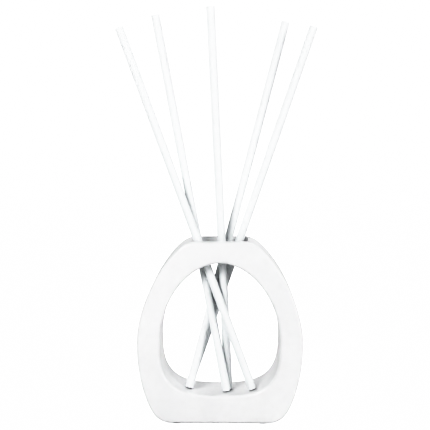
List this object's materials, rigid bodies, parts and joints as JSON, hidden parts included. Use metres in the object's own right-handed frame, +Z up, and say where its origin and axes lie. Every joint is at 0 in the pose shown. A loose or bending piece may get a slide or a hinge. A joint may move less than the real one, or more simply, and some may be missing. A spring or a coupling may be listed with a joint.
{
  "type": "fragrance stick diffuser",
  "caption": "Upright egg-shaped ceramic ring with a flat top and base, whose slot holds leaning rolled-paper fragrance sticks that cross inside the window.",
  "frame": {"origin": "centre of the ring's footprint, on the table that the four bumper feet stand on", "axes": "+Z up; +X across the window to the viewer's right; -Y is the front face"},
  "size_m": [0.1311, 0.0427, 0.2698],
  "materials": {
    "ceramic": "smooth white satin glaze with a soft sheen",
    "paper_stick": "matt white rolled paper, cut square at both ends",
    "bumper": "translucent soft bumper"
  },
  "bodies": {
    "ring": {"holder": "ceramic", "pad_front_left": "bumper", "pad_front_right": "bumper", "pad_back_left": "bumper", "pad_back_right": "bumper"},
    "stick_far_left": {"stick_far_left": "paper_stick"},
    "stick_left": {"stick_left": "paper_stick"},
    "stick_centre": {"stick_centre": "paper_stick"},
    "stick_right": {"stick_right": "paper_stick"},
    "stick_far_right": {"stick_far_right": "paper_stick"}
  },
  "joints": [
    {"name": "lift_far_left", "type": "slide", "parent": "ring", "child": "stick_far_left", "axis": [-0.3448, 0.0127, 0.9386], "range_m": [0, 0.115]},
    {"name": "lift_left", "type": "slide", "parent": "ring", "child": "stick_left", "axis": [-0.1864, 0.0528, 0.9811], "range_m": [0, 0.115]},
    {"name": "lift_centre", "type": "slide", "parent": "ring", "child": "stick_centre", "axis": [-0.0465, -0.0397, 0.9981], "range_m": [0, 0.115]},
    {"name": "lift_right", "type": "slide", "parent": "ring", "child": "stick_right", "axis": [0.2535, 0.1003, 0.9621], "range_m": [0, 0.115]},
    {"name": "lift_far_right", "type": "slide", "parent": "ring", "child": "stick_far_right", "axis": [0.3255, 0, 0.9455], "range_m": [0, 0.115]}
  ]
}
